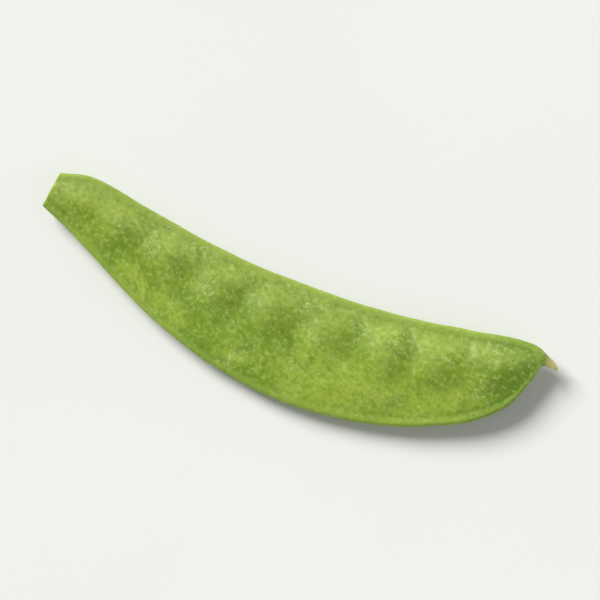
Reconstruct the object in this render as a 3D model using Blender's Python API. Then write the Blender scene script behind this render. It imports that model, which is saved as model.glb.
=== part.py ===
"""Snow pea pod, trimmed square at its stem end, lying on its flat side.

One grown piece. +X runs along the pod from the stem cut to the beak, +Y across it to the
straight upper suture, +Z through its thickness. The origin is under the middle of its box.
"""

import math

import bmesh
import bpy
from mathutils import Vector

# Driving dimensions, in metres.
POD_LENGTH = 0.0840  # from the stem cut to the end of the beak
POD_WIDTH = 0.0195  # across the belly, from suture to suture
SEED_THICKNESS = 0.0052  # through the pod at its plumpest seed
WALL_THICKNESS = 0.0037  # through the pod between two seeds
SUTURE_THICKNESS = 0.0015  # through the cord that joins the two walls at each edge
SUTURE_WIDTH = 0.0013
UPPER_SLOPE = 0.0050  # how far in from the upper suture the wall gets its full thickness
LOWER_SLOPE = 0.0075  # the same from the lower suture, where the pod is flatter
SEED_RADIUS = 0.0048  # of the soft dome that a seed raises in the wall
STEM_LIFT = 0.0007  # how far the stem end curls up off the surface
BEAK_LIFT = 0.0014
REST_FLAT = 0.00035  # pressed flat under the seeds that the pod lies on

# The two sutures, in pairs from the stem cut to the end of the beak, as shares of POD_LENGTH
# and POD_WIDTH: (upper along, upper across, lower along, lower across).
SUTURES = (
    (0.007, 0.185, -0.005, -0.113),
    (0.071, 0.231, 0.050, -0.226),
    (0.167, 0.154, 0.138, -0.426),
    (0.286, 0.051, 0.256, -0.697),
    (0.417, -0.020, 0.405, -0.913),
    (0.560, -0.046, 0.560, -0.995),
    (0.690, -0.031, 0.714, -0.923),
    (0.810, 0.026, 0.845, -0.728),
    (0.893, 0.082, 0.924, -0.477),
    (0.943, 0.085, 0.955, -0.205),
    (0.966, 0.041, 0.965, -0.067),
    (0.986, -0.005, 0.983, -0.056),
    (0.994, -0.036, 0.991, -0.062),
)

# Each seed: how far along the pod it lies, how far from the upper suture as a share of the
# width there, and its size. They grow in turn on the suture's two sides, so the row wavers.
SEEDS = (
    (0.135, 0.39, 0.55),
    (0.238, 0.36, 0.80),
    (0.346, 0.40, 0.95),
    (0.444, 0.37, 0.85),
    (0.553, 0.40, 1.00),
    (0.664, 0.36, 0.90),
    (0.762, 0.39, 0.80),
    (0.868, 0.37, 0.50),
)

SECTIONS = 84  # rings along the pod
HALF_RING = 17  # steps across one face of a ring
SPLINE_STEPS = 24  # steps between two outline points while arc length is measured


def smooth_step(distance, length):
    t = min(max(distance / length, 0.0), 1.0)
    return t * t * (3 - 2 * t)


def spline_point(points, place):
    """The point at place, 0 to len(points) - 1, on a smooth curve through the points."""
    last = len(points) - 1
    i = min(int(place), last - 1)
    t = place - i
    start, end = points[i], points[i + 1]
    start_slope = (end - points[i - 1]) / 2 if i else end - start
    end_slope = (points[i + 2] - start) / 2 if i + 1 < last else end - start
    return (
        start * (1 + 2 * t) * (1 - t) ** 2
        + start_slope * t * (1 - t) ** 2
        + end * t * t * (3 - 2 * t)
        - end_slope * t * t * (1 - t)
    )


def suture_pairs(count):
    """(upper, lower) points, evenly spaced along the pod's middle line."""
    upper = [Vector((s[0] * POD_LENGTH, s[1] * POD_WIDTH)) for s in SUTURES]
    lower = [Vector((s[2] * POD_LENGTH, s[3] * POD_WIDTH)) for s in SUTURES]
    steps = SPLINE_STEPS * (len(SUTURES) - 1)
    places = [i / SPLINE_STEPS for i in range(steps + 1)]
    pairs = [(spline_point(upper, p), spline_point(lower, p)) for p in places]
    middles = [(a + b) / 2 for a, b in pairs]
    # Both the middle line and the lower suture count, so that the blunt end gets its share.
    travelled = [0.0]
    for i in range(steps):
        along = (middles[i + 1] - middles[i]).length
        around = (pairs[i + 1][1] - pairs[i][1]).length
        travelled.append(travelled[-1] + (along + around) / 2)
    found = []
    i = 0
    for k in range(count):
        target = travelled[-1] * k / (count - 1)
        while i < steps - 1 and travelled[i + 1] < target:
            i += 1
        t = (target - travelled[i]) / (travelled[i + 1] - travelled[i])
        ends = (pairs[i][side].lerp(pairs[i + 1][side], t) for side in (0, 1))
        found.append(tuple(ends))
    return found


def seed_places(pairs):
    """(centre, size) of each seed, in the pod's plane."""
    seeds = []
    for along, across, size in SEEDS:
        upper, lower = pairs[round(along * (len(pairs) - 1))]
        seeds.append((upper.lerp(lower, across), size))
    return seeds


def half_thickness(point, from_upper, from_lower, seeds):
    """From the pod's middle plane to its skin, at a point in that plane."""
    edge = min(from_upper, from_lower)
    width = from_upper + from_lower
    cord_radius = min(SUTURE_WIDTH, width) / 2
    cord_height = SUTURE_THICKNESS / 2 * min(1.0, width / SUTURE_WIDTH / 2)
    inward = min(edge / cord_radius, 1.0)
    cord = cord_height * math.sqrt(1 - (1 - inward) ** 2)
    wall = WALL_THICKNESS / 2 - SUTURE_THICKNESS / 2
    wall *= smooth_step(from_upper, UPPER_SLOPE) * smooth_step(from_lower, LOWER_SLOPE)
    dome = 0.0
    for centre, size in seeds:
        reach = (point - centre).length / SEED_RADIUS
        if reach < 1:
            dome = max(dome, size * math.cos(reach * math.pi / 2) ** 2)
    dome *= (SEED_THICKNESS - WALL_THICKNESS) / 2 * smooth_step(edge, UPPER_SLOPE)
    return cord + wall + dome


def middle_height(point):
    """How far the pod's middle plane curls up towards its two ends."""
    along = 2 * point.x / POD_LENGTH - 1
    lift = STEM_LIFT if along < 0 else BEAK_LIFT
    return lift * along * along


def pod_rings():
    pairs = suture_pairs(SECTIONS)
    seeds = seed_places(pairs)
    rings = []
    for upper, lower in pairs:
        width = (upper - lower).length
        ring = []
        for step in range(2 * HALF_RING):
            turn = math.pi * step / HALF_RING
            across = (1 - math.cos(turn)) / 2
            point = upper.lerp(lower, across)
            skin = half_thickness(point, across * width, (1 - across) * width, seeds)
            side = 1 if step <= HALF_RING else -1
            ring.append(Vector((point.x, point.y, middle_height(point) + side * skin)))
        rings.append(ring)
    return rings


def set_down(rings):
    """Centres the pod over the origin, and presses its lowest seeds flat on the surface."""
    points = [point for ring in rings for point in ring]
    low = Vector([min(p[i] for p in points) for i in range(3)])
    high = Vector([max(p[i] for p in points) for i in range(3)])
    shift = (low + high) / -2
    shift.z = -low.z - REST_FLAT
    for point in points:
        point += shift
        point.z = max(point.z, 0.0)


def pod_mesh(rings):
    bm = bmesh.new()
    loops = [[bm.verts.new(point) for point in ring] for ring in rings]
    around = len(loops[0])
    for before, after in zip(loops, loops[1:]):
        for i in range(around):
            j = (i + 1) % around
            bm.faces.new((before[i], before[j], after[j], after[i]))
    bm.faces.new(loops[0])
    bm.faces.new(loops[-1])
    bmesh.ops.recalc_face_normals(bm, faces=bm.faces)
    mesh = bpy.data.meshes.new("pod")
    bm.to_mesh(mesh)
    bm.free()
    mesh.shade_smooth()
    mesh.set_sharp_from_angle(angle=math.radians(60))
    return mesh


def pod_skin():
    """Blanched pea skin: yellow-green, waxy, not metallic."""
    material = bpy.data.materials.new("pod_skin")
    material.use_nodes = True
    shader = material.node_tree.nodes["Principled BSDF"]
    shader.inputs["Base Color"].default_value = (0.27, 0.38, 0.06, 1.0)
    shader.inputs["Roughness"].default_value = 0.45
    shader.inputs["Metallic"].default_value = 0.0
    return material


def clear_scene():
    for existing in list(bpy.data.objects):
        bpy.data.objects.remove(existing, do_unlink=True)


def main():
    clear_scene()
    rings = pod_rings()
    set_down(rings)
    mesh = pod_mesh(rings)
    mesh.materials.append(pod_skin())
    pod = bpy.data.objects.new("pod", mesh)
    bpy.context.scene.collection.objects.link(pod)


main()
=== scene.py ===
import math

import bpy
import numpy as np
from mathutils import Matrix, Vector, noise


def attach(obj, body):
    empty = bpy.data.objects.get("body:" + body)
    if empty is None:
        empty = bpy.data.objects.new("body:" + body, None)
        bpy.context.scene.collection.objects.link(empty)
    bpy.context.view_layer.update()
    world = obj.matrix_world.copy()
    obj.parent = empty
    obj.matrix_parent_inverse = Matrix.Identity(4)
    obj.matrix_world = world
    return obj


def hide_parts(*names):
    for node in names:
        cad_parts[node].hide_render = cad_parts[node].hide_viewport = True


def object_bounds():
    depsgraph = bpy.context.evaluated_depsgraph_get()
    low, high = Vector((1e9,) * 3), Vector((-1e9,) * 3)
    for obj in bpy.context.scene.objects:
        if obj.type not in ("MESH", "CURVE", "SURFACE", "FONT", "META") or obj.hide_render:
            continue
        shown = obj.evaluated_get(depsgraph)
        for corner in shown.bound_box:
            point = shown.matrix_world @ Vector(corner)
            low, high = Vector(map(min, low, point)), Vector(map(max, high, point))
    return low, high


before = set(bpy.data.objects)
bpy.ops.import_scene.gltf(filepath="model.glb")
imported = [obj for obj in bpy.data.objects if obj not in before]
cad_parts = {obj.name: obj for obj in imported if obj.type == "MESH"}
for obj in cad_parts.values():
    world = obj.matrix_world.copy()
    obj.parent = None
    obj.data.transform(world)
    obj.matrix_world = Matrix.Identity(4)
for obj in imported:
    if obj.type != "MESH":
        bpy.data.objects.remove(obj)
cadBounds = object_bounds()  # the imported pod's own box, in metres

mm = 0.001  # the pod is worked out in millimetres, and Blender's unit is the metre
noiseStep, cellStep = 7.31, 5.17  # how far apart two seeds read the noise and the cells


def hexColour(code):
    # sRGB hex to the linear values that Blender's sockets take
    values = [int(code[i:i + 2], 16) / 255 for i in (1, 3, 5)]
    linear = [v / 12.92 if v <= 0.04045 else ((v + 0.055) / 1.055) ** 2.4 for v in values]
    return (*linear, 1.0)


def addNode(tree, kind, settings=None, links=None):
    # a setting is a property of the node or the value of an input, and a link feeds an input
    node = tree.nodes.new(kind)
    for name, value in (settings or {}).items():
        if isinstance(name, str) and hasattr(node, name):
            setattr(node, name, value)
        else:
            node.inputs[name].default_value = value
    for name, source in (links or {}).items():
        tree.links.new(source, node.inputs[name])
    return node


def newMaterial(name):
    material = bpy.data.materials.new(name)
    material.use_nodes = True
    material.node_tree.nodes.clear()
    return material


def perMetre(size):
    # texture scale of a pattern whose features are this many millimetres across
    return 1 / (size * mm)


def smoothStep(distance, length):
    t = np.clip(distance / length, 0, 1)
    return t * t * (3 - 2 * t)


def bell(distance, width):
    return np.exp(-(distance / width) ** 2)


def noiseAt(places, size, seed):
    # soft noise from -1 to 1 with features of the given size, one value for each place;
    # each seed reads another part of the same noise
    flat = places.reshape(-1, 3) / size + seed * noiseStep
    values = [noise.noise(Vector(p)) for p in flat]
    return np.array(values).reshape(places.shape[:-1])


def cellGaps(places, seed):
    # 0 on the borders between Voronoi cells, more inside them; a cell is about 1 across
    flat = places.reshape(-1, 3) + seed * cellStep
    gaps = []
    for p in flat:
        near = noise.voronoi(Vector(p))[0]
        gaps.append(near[1] - near[0])
    return np.array(gaps).reshape(places.shape[:-1])


podShape = {
    # the two sutures in pairs, stem cut to beak, as shares of the length and the width:
    # upper along, upper across, lower along, lower across
    "sutures": (
        (0.007, 0.185, -0.005, -0.113),
        (0.071, 0.231, 0.050, -0.226),
        (0.167, 0.154, 0.138, -0.426),
        (0.286, 0.051, 0.256, -0.697),
        (0.417, -0.020, 0.405, -0.913),
        (0.560, -0.046, 0.560, -0.995),
        (0.690, -0.031, 0.714, -0.923),
        (0.810, 0.026, 0.845, -0.728),
        (0.893, 0.082, 0.924, -0.477),
        (0.943, 0.085, 0.955, -0.205),
        (0.966, 0.041, 0.965, -0.067),
        (0.986, -0.005, 0.983, -0.056),
        (0.994, -0.036, 0.991, -0.062),
    ),
    # every length from here on is in millimetres
    "length": 84.0,
    "width": 19.5,
    "wallThickness": 3.7,
    "seedThickness": 5.2,
    "cordThickness": 1.5,  # the cords that the two walls end in
    "cordWidth": 1.3,
    "upperSlope": 5.0,  # from each suture in to the full thickness
    "lowerSlope": 7.5,
    "stemLift": 0.7,
    "beakLift": 1.4,
    "restFlat": 0.35,
    "seedRadius": 4.8,
    # how far along each seed lies, how far from the upper suture as a share of the width,
    # and its size; they grow in turn on the suture's two sides, so the row wavers
    "seeds": (
        (0.135, 0.39, 0.55),
        (0.238, 0.36, 0.80),
        (0.346, 0.40, 0.95),
        (0.444, 0.37, 0.85),
        (0.553, 0.40, 1.00),
        (0.664, 0.36, 0.90),
        (0.762, 0.39, 0.80),
        (0.868, 0.37, 0.50),
    ),
    "beakPoint": 0.25,  # past the last ring, as a share of the last five steps between rings
    "sections": 430,  # rings along the pod
    "halfRing": 106,  # steps across one face of a ring
    "curveSteps": 24,  # steps between two outline points while arc length is measured
}

skinRelief = {
    # how high and how wide, in millimetres, unless a note says otherwise
    "cordKnots": (0.07, 3.0),  # the cords are thicker here and there: as a share, and how wide
    "seedMoat": (0.12, 1.5),  # the wall sinks a little round each seed
    "seedWander": (0.7, 3.5),  # no seed is quite round
    "crease": (0.27, 0.85),  # runs in from the upper suture between two seeds
    "creaseWander": (0.9, 3.0),
    "creaseStart": 1.2,  # towards the stem from halfway between the seeds
    "creaseIn": (1.2, 2.4),  # how far in it begins, and over how far it deepens
    "creaseReach": 7.0,
    "creaseFade": 0.7,  # the share of its reach over which it fades out
    "creaseSlant": 0.30,  # towards the beak for each millimetre inwards
    "groove": (0.12, 0.42),  # beside each cord
    "grooveWander": (0.15, 4.0),
    "grooveFromEdge": 1.5,
    "groovePatches": (0.65, 0.7, 6.0),  # mean depth and its swing, as shares, and how long
    "swell": (0.22, 9.0),
    "dimple": (0.12, 3.4),
    "pebble": (0.030, 0.85),
    "wrinkle": (0.07, 1.5),
    "wrinkleLine": 0.22,  # it runs where its noise crosses 0, and ends this far from 0
    # the noise that says where the wall is wrinkled: from what value, over how much, its size
    "wrinklePatches": (-0.25, 0.6, 6.0),
    "vein": (0.040, 1.9),
    "veinLine": 0.085,  # it runs on the border of two cells, and ends this far into them
    "veinLength": 7.5,
    "veinSlant": 38,  # degrees
    "veinWander": (0.6, 2.6),
    "pucker": (0.10, 1.25),  # tiny folds where the wall meets a cord
    "puckerDeep": 5.0,  # how far in one fold runs before the next takes over
    "puckerReach": 2.2,
    "puckerFade": 0.8,  # from the rim in to their full height
    "furrow": (0.24, 0.17),  # along the middle of the upper cord
    "furrowReach": 0.5,  # in from the edge
    "wobble": (0.13, 5.5),  # the edges' slow wave in and out
    "wobbleReach": 2.5,
    "ruffle": (0.26, 11.0),  # and up and down
    "ruffleReach": 4.0,
    "edgesApart": 30.0,  # in the waves' noise, so that the two edges don't wave alike
    # this near an edge there is only the smooth cord, and where the pod is this narrow only
    # the smooth beak; the relief comes in over the second length
    "rim": (0.9, 1.6),
    "beak": (2.2, 4.0),
    "shadeInHollows": (0.4, 0.8, 0.3, 0.5),  # painted shade: how dark a groove, crease, moat and wrinkle are coloured
}


def curveThrough(points, places):
    # a smooth curve through all the points; place 2.5 is halfway from point 2 to point 3
    slopes = np.gradient(points, axis=0)
    i = np.minimum(places.astype(int), len(points) - 2)
    t = (places - i)[:, None]
    bend = slopes[i] * t * (1 - t) ** 2 - slopes[i + 1] * t * t * (1 - t)
    return points[i] * (1 + 2 * t) * (1 - t) ** 2 + points[i + 1] * t * t * (3 - 2 * t) + bend


def suturePairs(shape, count):
    stations = np.array(shape["sutures"]) * ([shape["length"], shape["width"]] * 2)
    last = len(stations) - 1
    places = np.linspace(0, last, shape["curveSteps"] * last + 1)
    upper = curveThrough(stations[:, :2], places)
    lower = curveThrough(stations[:, 2:], places)
    middle = (upper + lower) / 2
    # the middle line and the lower suture share the spacing, so the blunt end gets its part
    steps = np.linalg.norm(np.diff(middle, axis=0), axis=1)
    steps = (steps + np.linalg.norm(np.diff(lower, axis=0), axis=1)) / 2
    travelled = np.concatenate([[0], np.cumsum(steps)])
    even = np.linspace(0, travelled[-1], count)
    found = []
    for side in (upper, lower):
        found.append(np.stack([np.interp(even, travelled, side[:, k]) for k in (0, 1)], 1))
    return found


def middlePlane(shape):
    # a grid on the pod's middle plane: rings from stem to beak, each from the upper suture
    # over the top to the lower one and back underneath
    upper, lower = suturePairs(shape, shape["sections"])
    halfRing = shape["halfRing"]
    step = np.arange(2 * halfRing)
    across = (1 - np.cos(math.pi * step / halfRing)) / 2
    middle = (upper + lower) / 2
    travelled = np.cumsum(np.linalg.norm(np.diff(middle, axis=0, prepend=middle[:1]), axis=1))
    width = np.linalg.norm(upper - lower, axis=1)[:, None]
    grid = {
        "plane": upper[:, None] + (lower - upper)[:, None] * across[None, :, None],
        "inward": ((lower - upper) / width)[:, None],
        "width": width,
        "fromUpper": across * width,
        "fromLower": (1 - across) * width,
        "side": np.where(step <= halfRing, 1.0, -1.0) * np.ones_like(width),
        "along": travelled[:, None] * np.ones(2 * halfRing),
        "across": across * np.ones_like(width),
    }
    grid["edge"] = np.minimum(grid["fromUpper"], grid["fromLower"])
    return grid


def seedMarks(shape, relief, grid, spot):
    # how far each place lies up a seed's dome, how deep in the moat round it, and how deep
    # in a crease between two seeds
    domes = np.zeros_like(grid["along"])
    moats, creases = domes.copy(), domes.copy()
    stray, strayLength = relief["seedWander"]
    stray = stray * noiseAt(spot, strayLength, 23)
    seedRow = []
    for share, row, size in shape["seeds"]:
        i = round(share * (shape["sections"] - 1))
        upperEnd, lowerEnd = grid["plane"][i, 0], grid["plane"][i, shape["halfRing"]]
        centre = upperEnd + (lowerEnd - upperEnd) * row
        reach = np.linalg.norm(grid["plane"] - centre, axis=-1) + stray
        dome = np.cos(np.minimum(reach / shape["seedRadius"], 1) * math.pi / 2) ** 2
        domes = np.maximum(domes, size * dome)
        moat = bell(reach - shape["seedRadius"], relief["seedMoat"][1])
        moats = np.maximum(moats, size * moat)
        seedRow.append((grid["along"][i, 0], size))

    stray, strayLength = relief["creaseWander"]
    stray = stray * noiseAt(spot, strayLength, 21) - relief["creaseStart"]
    reach = relief["creaseReach"]
    begins, deepens = relief["creaseIn"]
    fade = smoothStep(reach - grid["fromUpper"], reach * relief["creaseFade"])
    fade = fade * smoothStep(grid["fromUpper"] - begins, deepens)
    for (before, beforeSize), (after, afterSize) in zip(seedRow, seedRow[1:]):
        line = (before + after) / 2 + grid["fromUpper"] * relief["creaseSlant"] + stray
        crease = bell(grid["along"] - line, relief["crease"][1])
        # small seeds lie under a smoother wall
        creases = np.maximum(creases, crease * fade * beforeSize * afterSize)
    return domes, moats, creases


def veinMarks(relief, grid, spot):
    # veins leave the upper suture on a slant towards the beak and join into a long net, and
    # the wrinkles follow them; the side keeps the marks of the two faces apart
    stray, strayLength = relief["veinWander"]
    stray = stray * noiseAt(spot, strayLength, 12)
    slant = math.radians(relief["veinSlant"])
    along, across = grid["along"] + stray, grid["fromUpper"] + stray
    forward = along * math.cos(slant) + across * math.sin(slant)
    sideways = across * math.cos(slant) - along * math.sin(slant)
    length, gap = relief["veinLength"], relief["vein"][1]
    cells = np.stack([forward / length, sideways / gap, grid["side"] * 2], -1)
    folds = np.stack([forward / length, sideways / relief["wrinkle"][1], grid["side"] * 3], -1)
    veins = 1 - smoothStep(cellGaps(cells, 3), relief["veinLine"])
    wrinkles = 1 - smoothStep(np.abs(noiseAt(folds, 1, 31)), relief["wrinkleLine"])
    # the wall is wrinkled only here and there
    start, over, size = relief["wrinklePatches"]
    wrinkles = wrinkles * smoothStep(noiseAt(spot, size, 14) - start, over)
    return veins, wrinkles


def roughBody(relief, grid):
    # 1 where the skin has its full relief, 0 on the smooth beak
    narrow, over = relief["beak"]
    return smoothStep(grid["width"] - narrow, over)


def smoothSkin(shape, relief, grid, spot, domes):
    # the two cords, the walls that rise between them and the seeds' domes
    edge, width = grid["edge"], grid["width"]
    cordRadius = np.minimum(shape["cordWidth"], width) / 2
    cordHeight = shape["cordThickness"] / 2 * np.minimum(1, width / shape["cordWidth"] / 2)
    height = cordHeight * np.sqrt(1 - (1 - np.minimum(edge / cordRadius, 1)) ** 2)
    high, size = relief["cordKnots"]
    height = height * (1 + high * noiseAt(spot, size, 2))
    wall = (shape["wallThickness"] - shape["cordThickness"]) / 2
    wall = wall * smoothStep(grid["fromUpper"], shape["upperSlope"])
    wall = wall * smoothStep(grid["fromLower"], shape["lowerSlope"])
    swell = (shape["seedThickness"] - shape["wallThickness"]) / 2
    return height + wall + domes * swell * smoothStep(edge, shape["upperSlope"])


def skinHeight(shape, relief, grid):
    # from the middle plane out to the skin, with the marks that the material follows
    edge, side = grid["edge"], grid["side"]
    spot = np.concatenate([grid["plane"], side[..., None] * 5], -1)  # two faces, 10 mm apart
    domes, moats, creases = seedMarks(shape, relief, grid, spot)
    height = smoothSkin(shape, relief, grid, spot, domes)

    body = roughBody(relief, grid)
    rim, over = relief["rim"]
    inner = smoothStep(edge - rim, over) * body
    veins, wrinkles = veinMarks(relief, grid, spot)
    veins, wrinkles = veins * inner, wrinkles * inner
    creases, moats = creases * inner, moats * inner
    stray, strayLength = relief["grooveWander"]
    groovePlace = relief["grooveFromEdge"] + stray * noiseAt(spot, strayLength, 5)
    grooves = bell(edge - groovePlace, relief["groove"][1]) * body
    mean, swing, size = relief["groovePatches"]
    grooves = grooves * (mean + swing * noiseAt(spot, size, 8))
    pucker = np.stack([grid["along"] / relief["pucker"][1], edge / relief["puckerDeep"],
                       side * 3], -1)
    fromGroove = np.maximum(edge - relief["grooveFromEdge"], 0)
    puckers = noiseAt(pucker, 1, 9) * np.exp(-fromGroove / relief["puckerReach"])

    height = height - relief["groove"][0] * grooves
    height = height - relief["seedMoat"][0] * moats - relief["crease"][0] * creases
    height = height - relief["wrinkle"][0] * wrinkles + relief["vein"][0] * veins
    fade = smoothStep(edge - rim, relief["puckerFade"])
    height = height + relief["pucker"][0] * puckers * fade * body
    for seed, name in enumerate(("swell", "dimple", "pebble")):
        high, size = relief[name]
        height = height + high * noiseAt(spot, size, 40 + seed) * inner
    # painted shade: each hollow's share of the darker colour that the material lays in it
    deep = zip(relief["shadeInHollows"], (grooves, creases, moats, wrinkles))
    shadeInHollows = np.clip(sum(share * mark for share, mark in deep), 0, 1)
    return height, np.stack([domes, veins, shadeInHollows], -1)


def podRings(shape, relief):
    grid = middlePlane(shape)
    height, marks = skinHeight(shape, relief, grid)
    print("pod skin worked out at", height.size, "points")
    edge = grid["edge"]
    body = roughBody(relief, grid)

    # the upper cord is two ridges side by side with a fine furrow between them
    deep, half = relief["furrow"]
    furrow = bell(height, half) * bell(grid["fromUpper"], relief["furrowReach"])
    shift = deep * furrow * body
    wave = np.stack([grid["along"], grid["across"] * relief["edgesApart"],
                     np.zeros_like(edge)], -1)
    high, size = relief["wobble"]
    shift = shift + high * noiseAt(wave, size, 51) * np.exp(-edge / relief["wobbleReach"]) * body
    plane = grid["plane"] + grid["inward"] * shift[..., None]

    # the ends curl up, and the rim is ruffled
    share = 2 * plane[..., 0] / shape["length"] - 1
    lift = np.where(share < 0, shape["stemLift"], shape["beakLift"]) * share ** 2
    high, size = relief["ruffle"]
    lift = lift + high * noiseAt(wave, size, 53) * np.exp(-edge / relief["ruffleReach"]) * body
    z = lift + grid["side"] * height
    rings = np.concatenate([plane, z[..., None]], -1)
    places = np.stack([grid["along"], grid["fromUpper"], grid["fromLower"]], -1)
    return rings, marks, places


stemEnd = {
    # lengths are in millimetres
    "slitHalfHeight": 0.16,  # between the two walls
    "slitShare": 0.66,  # of the way from suture to suture
    # the cut face, from its rim in to the slit: share of the way, and how deep
    "steps": ((0.035, -0.02), (0.12, -0.045), (0.26, -0.04), (0.4, -0.03), (0.55, -0.015),
              (0.7, 0.0), (0.83, 0.01), (0.93, 0.03), (1.0, 0.12), (1.0, 0.7), (0.98, 1.5)),
    "rough": (0.05, 0.7),  # the knife's tear: how high, and how wide
    "roughFrom": 0.25,  # the share of the way from the rim where it has its full height
}


def stemCut(end, halfRing, rings):
    # the cut across the stem end: a rim of wall round the slit between the two walls
    first = rings[0]
    turn = math.pi * np.arange(2 * halfRing) / halfRing
    upper, lower = first[0], first[halfRing]
    inwards = rings[3].mean(0) - first.mean(0)
    inwards[2] = 0
    inwards = inwards / np.linalg.norm(inwards)
    slit = (upper + lower) / 2 + np.outer(-np.cos(turn) * end["slitShare"] / 2, lower - upper)
    slit = slit + np.outer(np.sin(turn) * end["slitHalfHeight"], (0, 0, 1))
    high, size = end["rough"]
    loops = []
    for share, depth in end["steps"]:
        loop = first + (slit - first) * share
        torn = high * noiseAt(loop, size, 61) * min(share / end["roughFrom"], 1)
        loops.append(loop + inwards * (depth + torn)[:, None])
    return loops


def podFaces(layerCount, cutCount, around):
    # quads between neighbouring layers, and a fan over each end; the end points come last,
    # first the slit's and then the beak's
    last = (layerCount - 1) * around
    slitPoint = layerCount * around
    beakPoint = slitPoint + 1
    faces = []
    for a in range(0, last, around):
        for j in range(around):
            k = (j + 1) % around
            faces.append((a + j, a + around + j, a + around + k, a + k))
    for j in range(around):
        k = (j + 1) % around
        faces.append((slitPoint, j, k))
        faces.append((last + k, last + j, beakPoint))
    slots = np.zeros(len(faces), np.int32)
    slots[:cutCount * around] = 1
    slots[last::2] = 1  # the end of the slit
    return faces, slots


def storeMarks(mesh, cutCount, places, marks):
    # the material follows these: where each point is, and what the relief does there, from which
    # it paints shade into the hollows and highlight onto the seeds
    cutPlaces = np.tile(places[:1], (cutCount, 1, 1))
    allPlaces = np.concatenate([cutPlaces, places]).reshape(-1, 3)
    allPlaces = np.concatenate([allPlaces, places[:1, 0], places[-1:, 0]])
    allMarks = np.concatenate([np.zeros_like(cutPlaces), marks]).reshape(-1, 3)
    allMarks = np.concatenate([allMarks, np.zeros((2, 3))])
    for name, values in (("podPlace", allPlaces), ("podMarks", allMarks)):
        layer = mesh.attributes.new(name, "FLOAT_VECTOR", "POINT")
        layer.data.foreach_set("vector", values.astype(np.float32).ravel())


def buildPod(shape, relief, end):
    rings, marks, places = podRings(shape, relief)
    box = np.array(cadBounds) / mm
    low, high = rings.reshape(-1, 3).min(0), rings.reshape(-1, 3).max(0)
    shift = (box[0] + box[1] - low - high) / 2
    shift[2] = box[0][2] - low[2] - shape["restFlat"]
    rings = rings + shift
    rings[..., 2] = np.maximum(rings[..., 2], box[0][2])  # pressed flat where it rests

    cut = stemCut(end, shape["halfRing"], rings)
    layers = np.concatenate([cut[::-1], rings])
    lastRing, before = rings[-1].mean(0), rings[-6].mean(0)
    beakEnd = lastRing + (lastRing - before) * shape["beakPoint"]
    points = np.concatenate([layers.reshape(-1, 3), [cut[-1].mean(0), beakEnd]])
    faces, slots = podFaces(len(layers), len(cut), rings.shape[1])

    mesh = bpy.data.meshes.new("snowPeaPod")
    mesh.from_pydata([tuple(p) for p in points * mm], [], faces)
    mesh.update()
    mesh.shade_smooth()
    mesh.polygons.foreach_set("material_index", slots)
    storeMarks(mesh, len(cut), places, marks)
    pod = bpy.data.objects.new("snow_pea_pod", mesh)
    bpy.context.scene.collection.objects.link(pod)
    return pod


skinLook = {
    "colours": {
        "pod": "#7A9A26",
        "yellow": "#9BB339",
        "olive": "#758F18",  # along the row of seeds, where the wall is thinnest
        "pale": "#B2C262",  # along the upper suture, where the wall is thickest; also the painted highlight on the seed domes
        "leaf": "#5F831F",  # deeper green, where the wall folds in or cooked less
        "vein": "#A4B84C",
        "cord": "#8FA843",
        # painted shade: a deeper green laid into the grooves, creases, moats and wrinkles
        "hollowShade": "#587A20",
        "frost": "#DCE5BC",
        "dryTan": "#BCB074",
        "dryBrown": "#8B6B3A",
    },
    # size of each noise's features in millimetres, and its detail
    "noises": {
        "ripeness": (9.0, 3.0),  # from one seed to the next
        "patches": (3.0, 4.0),  # where the steam cooked the skin more or less
        "grain": (0.72, 4.0),  # clumps of skin cells
        "cells": (0.30, 4.0),  # the cells, really 0.05 mm, drawn coarser so that they show
        "margins": (5.0, 3.0),  # how the margins stray
        "dust": (5.0, 2.0),  # where the frost lies
        "flecks": (0.34, 2.0),  # ice grains, really 0.1 mm, drawn coarser so that they show
    },
    "noiseRoughness": 0.6,
    "fleckLevels": (0.56, 0.74),  # where in the fleck noise an ice grain starts and is full
    "dustLevels": (0.46, 0.68),
    # each layer over the one below: colour, most cover, what it follows, from none to full
    "layers": (
        ("yellow", 1.00, "ripeness", 0.38, 0.62),
        ("leaf", 0.55, "patches", 0.50, 0.72),
        ("olive", 0.60, "fromUpper", 10.5, 7.0),
        ("pale", 0.38, "fromUpper", 5.8, 3.0),
        # painted highlight: the seed domes paler towards their tops, as if they caught the light
        ("pale", 0.22, "seeds", 0.25, 0.95),
        ("leaf", 0.20, "fromLower", 3.2, 1.4),
        ("leaf", 0.50, "along", 70.0, 80.0),
        ("vein", 0.40, "veins", 0.0, 1.0),
        # painted shade in the hollows of the relief
        ("hollowShade", 0.50, "shadeInHollows", 0.0, 1.0),
        ("leaf", 0.50, "grain", 0.50, 0.72),
        ("pale", 0.60, "grain", 0.50, 0.30),
        ("frost", 0.60, "frost", 0.0, 0.8),
        ("cord", 0.45, "edge", 1.35, 0.65),
        ("dryTan", 0.90, "along", 84.3, 86.4),
        ("dryBrown", 0.75, "along", 86.6, 88.4),
    ),
    # how far, in millimetres, the margins stray in and out, so that they don't look ruled
    "wander": {"fromUpper": 6.0, "edge": 0.7},
    "roughness": (0.50, 0.66),  # of wax that has lost some of its shine in the water
    "roughnessLevels": (0.3, 0.7),  # of the patches that it follows
    "ior": 1.40,
    "bumps": (("cells", 0.4, 0.05), ("grain", 0.5, 0.10)),  # strength, height in millimetres
    "scatter": 0.35,  # share of the light that goes into the wall
    "scatterReach": 1.3,  # how far, in millimetres
    "scatterColour": (1.0, 1.1, 0.35),
}


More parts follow.
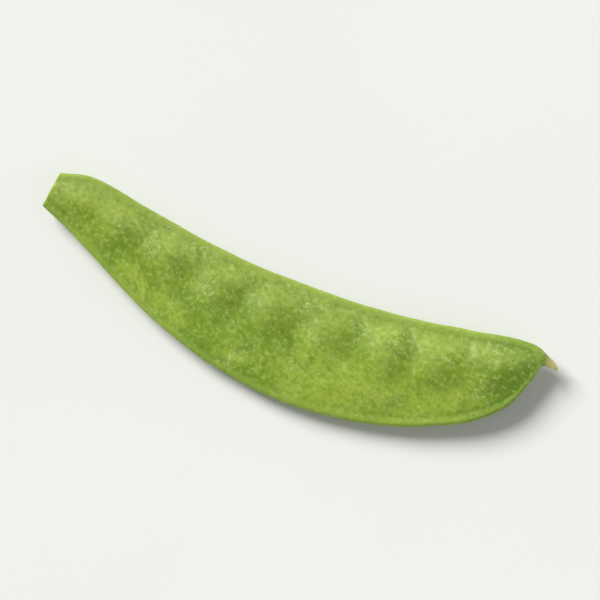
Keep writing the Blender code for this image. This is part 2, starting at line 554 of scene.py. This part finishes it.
def blanchedPeaSkin(look):
    # blanched pea skin is living wall, half see-through and waxy: light enters it and comes
    # back softened, and the wax gives a broad, low gloss
    material = newMaterial("blanchedPeaSkin")
    tree = material.node_tree
    spot = addNode(tree, "ShaderNodeTexCoord").outputs["Object"]
    fields = {}
    for name, outputs in (("podPlace", ("along", "fromUpper", "fromLower")),
                          ("podMarks", ("seeds", "veins", "shadeInHollows"))):
        stored = addNode(tree, "ShaderNodeAttribute", {"attribute_name": name})
        split = addNode(tree, "ShaderNodeSeparateXYZ", links={0: stored.outputs["Vector"]})
        fields.update(zip(outputs, split.outputs))
    for name, (size, detail) in look["noises"].items():
        texture = addNode(tree, "ShaderNodeTexNoise",
                          {"Scale": perMetre(size), "Detail": detail,
                           "Roughness": look["noiseRoughness"]},
                          {"Vector": spot})
        fields[name] = texture.outputs["Fac"]

    edge = addNode(tree, "ShaderNodeMath", {"operation": "MINIMUM"},
                   {0: fields["fromUpper"], 1: fields["fromLower"]})
    fields["edge"] = edge.outputs[0]
    for name, wander in look["wander"].items():
        stray = addNode(tree, "ShaderNodeMath",
                        {"operation": "MULTIPLY_ADD", 1: wander, 2: wander / -2},
                        {0: fields["margins"]})
        strayed = addNode(tree, "ShaderNodeMath", {"operation": "ADD"},
                          {0: fields[name], 1: stray.outputs[0]})
        fields[name] = strayed.outputs[0]

    # frost: small flecks of ice, only where the dust noise is high
    shares = []
    for name, levels in (("flecks", "fleckLevels"), ("dust", "dustLevels")):
        share = addNode(tree, "ShaderNodeMapRange",
                        {"From Min": look[levels][0], "From Max": look[levels][1]},
                        {"Value": fields[name]})
        shares.append(share.outputs["Result"])
    frost = addNode(tree, "ShaderNodeMath", {"operation": "MULTIPLY"}, dict(enumerate(shares)))
    fields["frost"] = frost.outputs[0]

    # a colour Mix node's sockets are 0 (how much), 6 and 7, and its colour comes out of 2
    colour = None
    for name, cover, follows, none, full in look["layers"]:
        amount = addNode(tree, "ShaderNodeMapRange",
                         {"interpolation_type": "SMOOTHSTEP", "From Min": none,
                          "From Max": full, "To Max": cover},
                         {"Value": fields[follows]})
        over = addNode(tree, "ShaderNodeMix",
                       {"data_type": "RGBA", 6: hexColour(look["colours"]["pod"]),
                        7: hexColour(look["colours"][name])},
                       {0: amount.outputs["Result"]})
        if colour:
            tree.links.new(colour, over.inputs[6])
        colour = over.outputs[2]

    (smooth, dull), (start, full) = look["roughness"], look["roughnessLevels"]
    rough = addNode(tree, "ShaderNodeMapRange",
                    {"From Min": start, "From Max": full, "To Min": smooth, "To Max": dull},
                    {"Value": fields["patches"]})
    bump = None
    for name, strength, high in look["bumps"]:
        below = {"Normal": bump.outputs["Normal"]} if bump else {}
        bump = addNode(tree, "ShaderNodeBump", {"Strength": strength, "Distance": high * mm},
                       {"Height": fields[name], **below})
    shader = addNode(tree, "ShaderNodeBsdfPrincipled",
                     {"IOR": look["ior"], "Subsurface Weight": look["scatter"],
                      "Subsurface Radius": look["scatterColour"],
                      "Subsurface Scale": look["scatterReach"] * mm},
                     {"Base Color": colour, "Roughness": rough.outputs["Result"],
                      "Normal": bump.outputs["Normal"]})
    addNode(tree, "ShaderNodeOutputMaterial", links={"Surface": shader.outputs[0]})
    return material


fleshLook = {
    "green": "#93A956",
    "pale": "#B4C480",
    "fibres": (0.40, 3.0),  # bundles of flesh cells: size in millimetres, and detail
    "fibreLevels": (0.35, 0.65),
    "bump": (0.5, 0.08),  # strength, height in millimetres
    "roughness": 0.35,
    "ior": 1.40,
    "scatter": 0.4,
    "scatterReach": 1.0,  # millimetres
    "scatterColour": (1.0, 1.1, 0.5),
}


def cutPeaFlesh(look):
    # the cut wall is wet, paler than the skin, with a soft shine
    material = newMaterial("cutPeaFlesh")
    tree = material.node_tree
    spot = addNode(tree, "ShaderNodeTexCoord").outputs["Object"]
    size, detail = look["fibres"]
    fibres = addNode(tree, "ShaderNodeTexNoise", {"Scale": perMetre(size), "Detail": detail},
                     {"Vector": spot})
    start, full = look["fibreLevels"]
    amount = addNode(tree, "ShaderNodeMapRange", {"From Min": start, "From Max": full},
                     {"Value": fibres.outputs["Fac"]})
    colour = addNode(tree, "ShaderNodeMix",
                     {"data_type": "RGBA", 6: hexColour(look["green"]),
                      7: hexColour(look["pale"])},
                     {0: amount.outputs["Result"]})
    strength, high = look["bump"]
    bump = addNode(tree, "ShaderNodeBump", {"Strength": strength, "Distance": high * mm},
                   {"Height": fibres.outputs["Fac"]})
    shader = addNode(tree, "ShaderNodeBsdfPrincipled",
                     {"Roughness": look["roughness"], "IOR": look["ior"],
                      "Subsurface Weight": look["scatter"],
                      "Subsurface Radius": look["scatterColour"],
                      "Subsurface Scale": look["scatterReach"] * mm},
                     {"Base Color": colour.outputs[2], "Normal": bump.outputs["Normal"]})
    addNode(tree, "ShaderNodeOutputMaterial", links={"Surface": shader.outputs[0]})
    return material


room = {
    # lengths are in metres, unless a note says otherwise
    "turn": 18.5,  # degrees; the pod slopes down to the right by this much
    "cameraHeight": 0.45,
    "viewWidth": 0.094,
    "sensorWidth": 36,  # millimetres
    "nearest": 0.01,
    "tableSize": 3.0,
    "tableColours": ("#EAEAE6", "#F0F0EC"),
    "tableRoughness": 0.8,
    "mottle": (60, 2.0),  # size in millimetres, and detail
    "wallColour": "#F4F4F1",  # the studio's white wall, low down all round
    "ceilingColour": "#7E8081",
    "wallTop": 0.5,  # sine of the angle up to where the wall has faded into the ceiling
    "lamps": (
        # name, right, up, height, how wide it looks in degrees, strength
        ("keySoftbox", -0.34, 0.38, 0.40, 28, 3.65),
        ("fillSoftbox", 0.60, -0.30, 0.55, 60, 0.30),
    ),
}


def paintedTable(look):
    # a matt painted table top: nearly white, with a faint mottle from the roller
    material = newMaterial("paintedTable")
    tree = material.node_tree
    spot = addNode(tree, "ShaderNodeTexCoord").outputs["Object"]
    size, detail = look["mottle"]
    mottle = addNode(tree, "ShaderNodeTexNoise", {"Scale": perMetre(size), "Detail": detail},
                     {"Vector": spot})
    grey, white = look["tableColours"]
    colour = addNode(tree, "ShaderNodeMix",
                     {"data_type": "RGBA", 6: hexColour(grey), 7: hexColour(white)},
                     {0: mottle.outputs["Fac"]})
    shader = addNode(tree, "ShaderNodeBsdfPrincipled", {"Roughness": look["tableRoughness"]},
                     {"Base Color": colour.outputs[2]})
    addNode(tree, "ShaderNodeOutputMaterial", links={"Surface": shader.outputs[0]})
    return material


def layTable(look):
    half = look["tableSize"] / 2
    corners = [(-half, -half, 0), (half, -half, 0), (half, half, 0), (-half, half, 0)]
    mesh = bpy.data.meshes.new("tableTop")
    mesh.from_pydata(corners, [], [(0, 1, 2, 3)])
    mesh.materials.append(paintedTable(look))
    table = bpy.data.objects.new("table_top", mesh)
    bpy.context.scene.collection.objects.link(table)


def setCamera(look, pod):
    # the camera looks straight down, turned so that the pod slopes, and the pod is centred
    turn = math.radians(look["turn"])
    right = Vector((math.cos(turn), math.sin(turn), 0))
    up = Vector((-math.sin(turn), math.cos(turn), 0))
    points = np.array([v.co for v in pod.data.vertices])
    centre = Vector((0, 0, 0))
    for axis in (right, up):
        reach = points @ np.array(axis)
        centre += axis * float(reach.min() + reach.max()) / 2
    lens = bpy.data.cameras.new("camera")
    lens.sensor_width = look["sensorWidth"]
    lens.lens = lens.sensor_width * look["cameraHeight"] / look["viewWidth"]
    lens.clip_start = look["nearest"]
    camera = bpy.data.objects.new("camera", lens)
    bpy.context.scene.collection.objects.link(camera)
    turned = Matrix((right, up, Vector((0, 0, 1)))).transposed().to_4x4()
    place = centre + Vector((0, 0, look["cameraHeight"]))
    camera.matrix_world = Matrix.Translation(place) @ turned
    bpy.context.scene.camera = camera
    return centre, right, up


def hangLamps(look, centre, right, up):
    # large softboxes far off, so that the whole table is lit alike
    for name, atRight, atUp, height, width, strength in look["lamps"]:
        light = bpy.data.lights.new(name, "SUN")
        light.angle = math.radians(width)
        light.energy = strength
        lamp = bpy.data.objects.new(name, light)
        bpy.context.scene.collection.objects.link(lamp)
        lamp.location = centre + right * atRight + up * atUp + Vector((0, 0, height))
        lamp.rotation_euler = (centre - lamp.location).to_track_quat("-Z", "Y").to_euler()


def paintStudio(look):
    # a white wall all round that fades up into a grey ceiling
    world = bpy.data.worlds.new("studio")
    world.use_nodes = True
    tree = world.node_tree
    tree.nodes.clear()
    direction = addNode(tree, "ShaderNodeTexCoord").outputs["Generated"]
    height = addNode(tree, "ShaderNodeSeparateXYZ", links={0: direction}).outputs["Z"]
    rise = addNode(tree, "ShaderNodeMapRange",
                   {"interpolation_type": "SMOOTHSTEP", "From Max": look["wallTop"]},
                   {"Value": height})
    colour = addNode(tree, "ShaderNodeMix",
                     {"data_type": "RGBA", 6: hexColour(look["wallColour"]),
                      7: hexColour(look["ceilingColour"])},
                     {0: rise.outputs["Result"]})
    background = addNode(tree, "ShaderNodeBackground", links={"Color": colour.outputs[2]})
    addNode(tree, "ShaderNodeOutputWorld", links={"Surface": background.outputs[0]})
    bpy.context.scene.world = world
    bpy.context.scene.view_settings.view_transform = "Standard"


pod = buildPod(podShape, skinRelief, stemEnd)
print("pod built with", len(pod.data.polygons), "faces")
pod.data.materials.append(blanchedPeaSkin(skinLook))
pod.data.materials.append(cutPeaFlesh(fleshLook))
print("skin and cut flesh coloured")
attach(pod, "root")
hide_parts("pod")

layTable(room)
centre, right, up = setCamera(room, pod)
print("table laid and camera set")
hangLamps(room, centre, right, up)
paintStudio(room)
print("studio lit")
